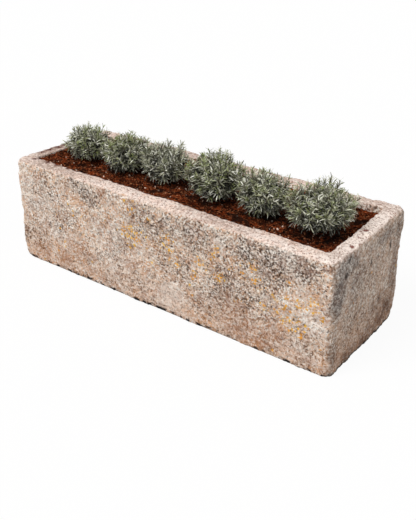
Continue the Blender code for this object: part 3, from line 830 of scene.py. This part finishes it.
def roundedGrid(halfX, halfY, radius, columns, rows):
    # a grid whose corner squares are squeezed into quarter circles
    x, y = np.meshgrid(np.linspace(-halfX, halfX, columns), np.linspace(-halfY, halfY, rows), indexing="ij")
    offX = np.maximum(np.abs(x) - (halfX - radius), 0)
    offY = np.maximum(np.abs(y) - (halfY - radius), 0)
    far = np.hypot(offX, offY)
    squeeze = np.where(far > 0, np.maximum(offX, offY) / np.maximum(far, 1e-9), 1)
    corner = (offX > 0) & (offY > 0)
    x = np.where(corner, np.sign(x) * (halfX - radius + offX * squeeze), x)
    y = np.where(corner, np.sign(y) * (halfY - radius + offY * squeeze), y)
    return x.ravel(), y.ravel()


def makeSoilMesh():
    intoWall, corner = soil["intoWall"], block["cavityCorner"]
    halfX, halfY = (half + intoWall for half in cavityHalves(soilLevel(0)))
    columns, rows = round(2 * halfX / soil["step"]) + 1, round(2 * halfY / soil["step"]) + 1
    x, y = roundedGrid(halfX, halfY, corner, columns, rows)
    wall = np.minimum(halfX - np.abs(x), halfY - np.abs(y))
    bank = soil["leftBank"] + (soil["bank"] - soil["leftBank"]) * ease(*soil["leftFade"], x)
    z = soilLevel(x) + bank * (1 - ease(0, soil["bankWidth"], wall))
    for number in range(1, len(plants["each"]) + 1):
        middle, radius = rootBall(number)
        away = np.hypot(x - middle.x, y - middle.y)
        z = z + soil["mound"] * (1 - ease(*soil["moundFade"], away / radius))
    top = hewn(np.column_stack([x, y, soilLevel(x)]))
    swell = np.array([noise.noise(Vector(p) / soil["swellLength"]) for p in top])
    top[:, 2] += soil["swellDepth"] * swell + z - soilLevel(x)
    bottom = block["floor"] + block["gravel"]
    x, y = roundedGrid(*(half - intoWall for half in cavityHalves(bottom)), corner, columns, rows)
    foot = hewn(np.column_stack([x, y, np.full(len(x), bottom + 0.5 * mm)]))

    def at(i, j):
        return i * rows + j

    rim = [at(i, 0) for i in range(columns)] + [at(columns - 1, j) for j in range(1, rows)]
    rim += [at(i, rows - 1) for i in range(columns - 2, -1, -1)] + [at(0, j) for j in range(rows - 2, 0, -1)]
    faces = [(at(i, j), at(i + 1, j), at(i + 1, j + 1), at(i, j + 1))
             for i in range(columns - 1) for j in range(rows - 1)]
    # the underside is a coarse ring that fans to a spine, since nothing sees it
    count, size = len(top), len(rim)
    spine = count + size
    faces += [(rim[(i + 1) % size], rim[i], count + i, count + (i + 1) % size) for i in range(size)]
    points = [*top, *(foot[i] for i in rim)]
    points += [(foot[at(i, 0)] + foot[at(i, rows - 1)]) / 2 for i in range(columns)]
    first = 2 * columns + rows - 3
    for i in range(columns - 1):
        faces.append((count + i + 1, count + i, spine + i, spine + i + 1))
        faces.append((spine + i + 1, spine + i, count + first - i, count + first - 1 - i))
    for j in range(rows - 1):
        faces.append((count + columns + j, count + columns - 1 + j, spine + columns - 1))
        faces.append((count + (first + j + 1) % size, count + first + j, spine))
    mesh = meshOf("soilBase", points, faces)
    faceOutward(mesh)
    paint(mesh, "crust", np.arange(len(points)) < count)
    return mesh


def makeSoilTree():
    tree, add, get = startTree("SoilClods", soil["clods"])
    place = add("InputPosition")
    crust = add("InputNamedAttribute", "crust")
    rise = 0.0
    for label, detail in (("Clod", 2.0), ("Crumb", 1.0)):
        rise = addLumps(add, place, get[label + " Size"], get[label + " Depth"], rise, detail, 0.65)
    rise = add("Math", rise, crust, operation="MULTIPLY")
    ground = add("SetPosition", get["Geometry"], Offset=add("CombineXYZ", Z=rise))

    # crumbs of bark lie on the surface, pressed into it at any turn
    onTop = add("Compare", A=crust, B=0.9, data_type="FLOAT", operation="GREATER_THAN")
    density, seed = get["Density"], get["Seed"]
    scatter = add("DistributePointsOnFaces", ground, Selection=onTop, Density=density, Seed=seed)
    crumb = add("MeshIcoSphere", Radius=1.0, Subdivisions=1)
    size = add("RandomValue", Min=get["Smallest"], Max=get["Largest"], Seed=21, data_type="FLOAT")
    stretch, turn = (add("RandomValue", Min=least, Max=most, Seed=seed, data_type="FLOAT_VECTOR")
                     for least, most, seed in (((0.5, 0.5, 0.35), (1.7, 1.0, 0.8), 22),
                                               ((0.0, 0.0, 0.0), (6.28, 6.28, 6.28), 23)))
    scale = add("VectorMath", stretch, Scale=size, operation="SCALE")
    crumbs = add("InstanceOnPoints", scatter, Instance=crumb, Rotation=turn, Scale=scale)
    tint = add("RandomValue", Seed=24, data_type="FLOAT")
    stored = add("StoreNamedAttribute", crumbs, Name="crumbTint", Value=tint, domain="INSTANCE")
    joined = add("JoinGeometry", stored)
    tree.links.new(ground.outputs[0], joined.inputs[0])
    endTree(add, joined, compost)
    return tree


compostLook = {
    "ground": "#3A1406",
    "washes": (
        ("#763214", 34, 0.6, (0.38, 0.62), (0, 1), None, 0, 1),  # red-brown bark
        ("#BE7C54", 7, 0.75, (0.56, 0.63), (0, 0.85), None, 2, 1),  # pale fibres
        ("#080301", 9, 0.75, (0.5, 0.42), (0, 1), None, 4, 1),  # painted shade in the gaps between the crumbs
        ("#A8704E", 5, 0.5, (0.3, 0.4), (0.6, 0.95), "brownCrumb", 6, 1),
        ("#E8CBB8", 5, 0.5, (0.3, 0.4), (0.7, 1), "paleCrumb", 8, 1),
        ("#1B0C07", 90, 0.6, (0.52, 0.66), (0, 0.9), None, 9, 1),  # wide patches of painted shade
        ("#0C0503", 16, 0.7, (0.36, 0.6), (0.25, 0.95), "damp", 11, 1),  # painted shade on the soil under the plants
    ),
    "brownCrumb": (0.80, 0.92), "paleCrumb": (0.92, 0.93), "bump": 2.4 * mm,
}


def makeCompost():
    # Potting compost of milled bark and peat: fibrous red-brown crumbs, with painted shade nearly black in
    # the gaps and under the plants.
    made, add, place = startMaterial("barkCompost")
    look = compostLook
    tint, damp = (add("Attribute", attribute_name=name).outputs["Fac"] for name in ("crumbTint", "damp"))
    masks = {"damp": damp}
    for name in ("brownCrumb", "paleCrumb"):
        masks[name] = add("MapRange", tint, *look[name], 0.0, 1.0)
    base = addWashes(add, place, masks, colour(look["ground"]), look["washes"])
    lumps = addNoise(add, place, 0, 5 * mm, 3.0, 0.7)
    bump = add("Bump", Strength=0.9, Distance=look["bump"], Height=lumps)
    endMaterial(add, Base_Color=base, Roughness=0.95, Normal=bump, Specular_IOR_Level=0.05)
    return made


def makeSoil():
    ground = runTree("pottingSoil", newObject("soilSource", makeSoilMesh()), makeSoilTree(), soil["clods"])
    x, y, _ = readVertices(ground.data, "co").T
    # shade painted on the soil under each plant, over shares of its spread
    damp = np.zeros(len(x))
    for number, (spread, *_) in enumerate(plants["each"], 1):
        middle, _ = rootBall(number)
        away = np.hypot(x - middle.x, y - middle.y)
        damp = np.maximum(damp, 1 - ease(*soil["plantShadeFade"], away / spread))
    paint(ground.data, "damp", damp)
    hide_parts("potting_soil")
    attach(ground, "root")
    print("soil:", len(ground.data.polygons), "faces")


# The six young lavenders. Each is a dome of sprigs that leave one woody stock.

plants = {
    # spread and height in metres, how many sprigs, how fresh its tips are, its seed, then in millimetres
    # how far the dome leans off its stock along x and y and how far its skirt sways along x, and last how
    # round it is on top: 1 for a dome, less for a flatter one
    "each": (
        (0.096, 0.135, 148, 0.95, 1, 22, -2, 2, 1.0), (0.113, 0.148, 160, 0.95, 2, 14, 0, -4, 1.0),
        (0.098, 0.157, 152, 0.35, 3, 10, 2, 8, 1.0), (0.117, 0.187, 190, 1.00, 4, 2, 5, 7, 1.0),
        (0.102, 0.170, 158, 0.70, 5, 4, 4, 14, 1.0), (0.130, 0.166, 222, 0.80, 6, -6, 26, -4, 0.38),
    ),
    # the dome's outline from its foot to its top: share of the spread, share of the height
    "outline": ((0.62, 0.15), (0.80, 0.25), (0.93, 0.38), (1.00, 0.52), (0.99, 0.66), (0.92, 0.79),
                (0.76, 0.89), (0.54, 0.95), (0.28, 0.99), (0.0, 1.0)),
    "lobes": 0.16,                   # how far the outline swells and shrinks, as a share
    "lift": 9 * mm,                  # the foliage starts above its root ball
    "leafLength": 37 * mm, "leafWidth": 5.2 * mm, "leafThickness": 0.8 * mm, "leafBend": 0.26,
    "sprig": {"Node Spacing": 6.2 * mm, "Bare Share": 0.46, "Low Lean": 68.0, "Tip Lean": 28.0,
              "Stem Radius": 1.1 * mm, "Seed": 1},
    "guidePoints": 14,
    # sprigs: the turn from one to the next in degrees and its scatter in radians, the share that reaches the
    # dome, how far those and the others reach, from what share of the height they rise and don't arch over,
    # and how far their tips scatter
    "turn": 137.5, "turnScatter": 0.25, "outerShare": 0.72, "outerReach": (0.84, 0.98),
    "innerReach": (0.55, 0.78), "steepFrom": 0.3, "scatter": 8 * mm,
    # leaves: least and most of their turn in radians, lean in degrees and size, then of how much their bend
    # is stretched, and of their twist in radians
    "leafUneven": ((-0.6, -32.0, 0.60), (0.6, 32.0, 1.20)),
    "leafCurl": ((0.5, 1.0, 1.0), (2.6, 1.0, 1.0)), "leafTwist": (-1.3, 1.3),
}


def makeLeaf():
    # a narrow closed blade that grows up from the origin, with its face towards -X and a slight outward bend
    stations = ((0.10, 0.55), (0.45, 1.0), (0.82, 0.72))
    length, width, thick = plants["leafLength"], plants["leafWidth"] / 2, plants["leafThickness"] / 2
    bend = plants["leafBend"] * length
    points = [(0, 0, 0)]
    for t, share in stations:
        x, z = bend * t * t, t * length
        points += [(x, -width * share, z), (x + thick, 0, z), (x, width * share, z), (x - thick * 1.6, 0, z)]
    points.append((bend, 0, length))
    faces = [(0, 1 + (i + 1) % 4, 1 + i) for i in range(4)]
    for low in (1, 5):
        faces += [(low + i, low + (i + 1) % 4, low + 4 + (i + 1) % 4, low + 4 + i) for i in range(4)]
    faces += [(9 + i, 9 + (i + 1) % 4, 13) for i in range(4)]
    mesh = meshOf("lavenderLeaf", points, faces)
    faceOutward(mesh)
    paint(mesh, "blade", [p[2] / length for p in points])
    return newObject("lavenderLeaf", mesh, shown=False)


def makeGuides(foot, lean, spread, height, sprigs, seed, sway, roundness):
    # the middle lines of the sprigs, as chains of edges from the stock to the dome, which leans off it
    rnd = random.Random(seed)
    shares = np.array(plants["outline"])
    # a flatter top stands on a narrower foot
    power = np.where(np.arange(len(shares)) < shares[:, 0].argmax(), 1 / roundness, roundness)
    radii, heights = shares[:, 0] ** power * spread, shares[:, 1] * height
    steps = np.hypot(np.diff(radii), np.diff(heights)) * (radii[1:] + radii[:-1] + 0.004)
    area = np.concatenate([[0], np.cumsum(steps)]) / steps.sum()
    last = plants["guidePoints"] - 1
    points, edges, along, turn = [], [], [], []
    for k in range(sprigs):
        share = (k + 0.5) / sprigs
        radius, rise = np.interp(share, area, radii), np.interp(share, area, heights)
        angle = k * math.radians(plants["turn"]) + rnd.uniform(-plants["turnScatter"], plants["turnScatter"])
        outer = rnd.random() < plants["outerShare"]
        reach = rnd.uniform(*plants["outerReach" if outer else "innerReach"])
        outward = Vector((math.cos(angle), math.sin(angle), 0))
        # the dome is lobed, as the shoots of one branch stand together
        turned = Vector((outward.x, outward.y, 1.4 * rise / height)) * 1.7
        reach *= 1 + plants["lobes"] * noise.noise(turned + Vector((seed * 7.3, 0, 0)))
        start = foot + outward * rnd.uniform(0.002, 0.012) + Vector((0, 0, rnd.uniform(0.010, 0.030)))
        tip = foot + lean + outward * (radius * reach)
        tip += Vector((0, 0, max(rise * (0.25 + 0.75 * reach), 0.012)))
        tip += Vector([rnd.uniform(-1, 1) for _ in range(3)]) * plants["scatter"]
        tip.x += sway * (1 - 2 * rise / height)
        level = Vector((tip.x - start.x, tip.y - start.y, 0))
        if rise > plants["steepFrom"] * height:
            bend = start + level * 0.62 + Vector((0, 0, (tip.z - start.z) * 0.34))
        else:
            bend = start + level * 0.55 + Vector((0, 0, 0.030 + 0.20 * rise))
        spin = rnd.uniform(0, math.tau)
        for i in range(last + 1):
            t = i / last
            points.append(start * (1 - t) ** 2 + bend * (2 * t * (1 - t)) + tip * t * t)
            along.append(t)
            turn.append(spin)
            if i:
                edges.append((len(points) - 2, len(points) - 1))
    mesh = meshOf("sprigGuides", points, [], edges)
    paint(mesh, "along", along)
    paint(mesh, "turn", turn)
    return mesh


def makeSprigTree(leaf):
    tree, add, get = startTree("LavenderSprigs", plants["sprig"])
    curves = add("MeshToCurve", get["Geometry"])
    along, spin = (add("InputNamedAttribute", name) for name in ("along", "turn"))
    index = add("InputIndex")

    def chance(shift, least, most, kind="FLOAT"):
        # a random value for each point, from the plant's own seed
        seed = add("IntegerMath", get["Seed"], shift)
        return add("RandomValue", Min=least, Max=most, Seed=seed, data_type=kind)

    # leaves in pairs, each pair a quarter turn on from the one below, from where the bare stem ends
    nodesAt = add("ResampleCurve", curves, Length=get["Node Spacing"], mode="LENGTH")
    bare = add("Math", get["Bare Share"], chance(0, -0.08, 0.12))
    leafy = add("Compare", A=along, B=bare, data_type="FLOAT", operation="GREATER_THAN")
    stem = add("AlignRotationToVector", Vector=add("InputTangent"), axis="Z")
    joined = add("JoinGeometry")
    for side in (0, 1):
        uneven = chance(10 * (side + 1), *plants["leafUneven"], "FLOAT_VECTOR")
        uneven = add("SeparateXYZ", uneven).outputs
        azimuth = add("Math", index, math.pi / 2, spin, operation="MULTIPLY_ADD")
        azimuth = add("Math", azimuth, side * math.pi)
        azimuth = add("Math", azimuth, uneven["X"])
        lean = add("MapRange", along, 0.35, 1.0, get["Low Lean"], get["Tip Lean"])
        lean = add("Math", lean, uneven["Y"])
        lean = add("Math", lean, operation="RADIANS")
        # each leaf is bent more or less, and twisted about its own length
        curl = chance(70 + side, *plants["leafCurl"], "FLOAT_VECTOR")
        twist = chance(90 + side, *plants["leafTwist"])
        turned = stem
        for axis, angle in (((0, 0, 1), azimuth), ((0, 1, 0), lean), ((0, 0, 1), twist)):
            turn = add("AxisAngleToRotation", Axis=axis, Angle=angle)
            turned = add("RotateRotation", turned, turn, rotation_space="LOCAL")
        size = add("MapRange", along, 0.72, 1.0, 1.0, 0.62)
        size = add("Math", size, uneven["Z"], operation="MULTIPLY")
        size = add("VectorMath", curl, Scale=size, operation="SCALE")
        blade = add("ObjectInfo", leaf).outputs["Geometry"]
        leaves = add("InstanceOnPoints", nodesAt, leafy, blade, Rotation=turned, Scale=size)
        tint = chance(40 + side, 0.0, 1.0)
        stored = add("StoreNamedAttribute", leaves, Name="tint", Value=tint, domain="INSTANCE")
        tree.links.new(stored.outputs[0], joined.inputs[0])

    # the stems, thinner towards their tips
    smooth = add("ResampleCurve", curves, Count=9, mode="COUNT")
    ring = add("CurvePrimitiveCircle", Resolution=5, Radius=1.0, mode="RADIUS")
    taper = add("MapRange", along, 0.0, 1.0, 1.3, 0.7)
    radius = add("Math", taper, get["Stem Radius"], operation="MULTIPLY")
    stems = add("CurveToMesh", smooth, ring, Scale=radius, Fill_Caps=True)
    bark = add("StoreNamedAttribute", stems, Name="stem", Value=1.0)
    tree.links.new(bark.outputs[0], joined.inputs[0])
    endTree(add, joined, lavender)
    return tree


# Each coat: tone, what drives it, where it starts and is full, and its least and most cover.
leafLook = {
    "ground": "#60624A",
    "coats": (
        ("#CBCAAF", "tint", (0.0, 0.8), (0.0, 1.0)),            # grey felt
        ("#FFFEF0", "tint", (0.66, 0.86), (0.0, 1.0)),          # silvery young leaves
        ("#8C9A45", "green", (0.0, 1.0), (0.0, 0.72)),          # fresh growth
        ("#14150B", "along", (0.92, 0.56), (0.0, 0.98)),        # painted shade deep inside the bush, over its darker old leaves
        ("#1E200F", "blade", (0.62, 0.0), (0.0, 0.86)),         # the shaded foot of each leaf
        ("#DADCCE", "blade", (0.70, 1.0), (0.0, 0.30)),         # its pale tip
        ("#6A5B49", "stem", (0.0, 1.0), (0.0, 1.0)),
    ),
    "patch": 38 * mm,
}


def makeLavender():
    # Lavender leaves, felted with fine hairs: matt grey-green, silvery where they are young, and greener in
    # patches at the tips of the sprigs.
    made, add, place = startMaterial("lavenderLeaf")
    look = leafLook
    drives = {name: add("Attribute", attribute_name=name).outputs["Fac"]
              for name in ("tint", "along", "blade", "stem", "fresh")}
    patch = addNoise(add, place, 0, look["patch"])
    patch = add("MapRange", patch, 0.40, 0.60, 0.0, 1.0, interpolation_type="SMOOTHSTEP")
    outer = add("MapRange", drives["along"], 0.62, 0.98, 0.0, 1.0)
    green = add("Math", patch, outer, operation="MULTIPLY")
    drives["green"] = add("Math", green, drives["fresh"], operation="MULTIPLY")
    base = colour(look["ground"])
    for tone, drive, window, cover in look["coats"]:
        share = add("MapRange", drives[drive], *window, *cover, interpolation_type="SMOOTHSTEP")
        base = addTone(add, base, tone, share)
    endMaterial(add, Base_Color=base, Roughness=0.85, Specular_IOR_Level=0.2, Sheen_Weight=0.12,
                Sheen_Roughness=0.5)
    return made


def makePlants():
    leaf = makeLeaf()
    tree = makeSprigTree(leaf)
    for number, row in enumerate(plants["each"], 1):
        spread, height, sprigs, fresh, seed, leanX, leanY, sway, roundness = row
        foot = rootBall(number)[0] + Vector((0, 0, plants["lift"]))
        lean = Vector((leanX, leanY, 0)) * mm
        guides = makeGuides(foot, lean, spread, height, sprigs, seed, sway * mm, roundness)
        source = newObject(f"guides{number}", guides)
        bush = runTree(f"lavender{number}", source, tree, {**plants["sprig"], "Seed": seed})
        paint(bush.data, "fresh", np.full(len(bush.data.vertices), fresh))
        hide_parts(f"plant_{number}_foliage")
        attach(bush, "root")
        print("lavender", number, len(bush.data.polygons), "faces")
    bpy.data.objects.remove(leaf)


# What nobody sees until the trough is taken apart: the drainage and the plants' wood keep the solids' shapes.
# Each has its material's name, ground and washes, then the size and depth of its lumps and its roughness.
hiddenLooks = {
    "drain_sherd": ("brokenTerracotta", "#B4694A", (
        ("#D49A7C", 26, 0.6, (0.42, 0.66), (0, 0.7), None, 1, 1),  # lime bloom
        ("#8E4B33", 9, 0.6, (0.54, 0.66), (0, 0.6), None, 2, 1),  # darker grog
        ("#5A4438", 40, 0.6, (0.56, 0.7), (0, 0.7), None, 3, 1),  # soil film
    ), 3 * mm, 0.6 * mm, 0.85),
    "drainage_gravel": ("peaGravel", "#9C9186", (
        ("#C9BDAC", 9, 0.5, (0.48, 0.56), (0, 0.9), None, 1, 1),  # pale pebbles
        ("#6E655E", 10, 0.5, (0.54, 0.6), (0, 0.9), None, 2, 1),  # dark pebbles
        ("#A57F5F", 12, 0.5, (0.58, 0.63), (0, 0.85), None, 3, 1),  # brown pebbles
        ("#3C342E", 7, 0.6, (0.42, 0.36), (0, 0.95), None, 4, 1),  # painted shade in the gaps between the pebbles
    ), 8 * mm, 5.0 * mm, 0.70),
    "stock": ("lavenderBark", "#77695A", (
        ("#A39683", 5, 0.7, (0.48, 0.62), (0, 0.8), None, 1, 0.2),  # peeling strips
        ("#3F352C", 4, 0.7, (0.46, 0.38), (0, 0.85), None, 2, 0.2),  # furrows
    ), 3 * mm, 1.2 * mm, 0.90),
}


def makeHiddenLook(name):
    # Fired clay with lime bloom, washed pea gravel, or the stringy grey bark of a young shrub, from its row.
    label, ground, washes, lump, depth, roughness = hiddenLooks[name]
    made, add, place = startMaterial(label)
    base = addWashes(add, place, {}, colour(ground), washes)
    bump = add("Bump", Strength=0.8, Distance=depth, Height=addNoise(add, place, 0, lump))
    endMaterial(add, Base_Color=base, Roughness=roughness, Normal=bump, Specular_IOR_Level=0.2)
    return made


def dress(node, material):
    # gives a solid that is carried over its finish
    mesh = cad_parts[node].data
    mesh.materials.clear()
    mesh.materials.append(material)


bpy.context.scene.view_settings.view_transform = "Standard"
makeView()
makeLight()
makeFloor()
print("view, light and floor made")
limestone = makeLimestone()
makeStone()
compost = makeCompost()
makeSoil()
lavender = makeLavender()
makePlants()
hidden = {name: makeHiddenLook(name) for name in hiddenLooks}
dress("drainage_gravel", hidden["drainage_gravel"])
for number in range(1, len(block["holePlaces"]) + 1):
    dress(f"drain_sherd_{number}", hidden["drain_sherd"])
for number in range(1, len(plants["each"]) + 1):
    dress(f"plant_{number}_root_ball", compost)
    dress(f"plant_{number}_stock", hidden["stock"])
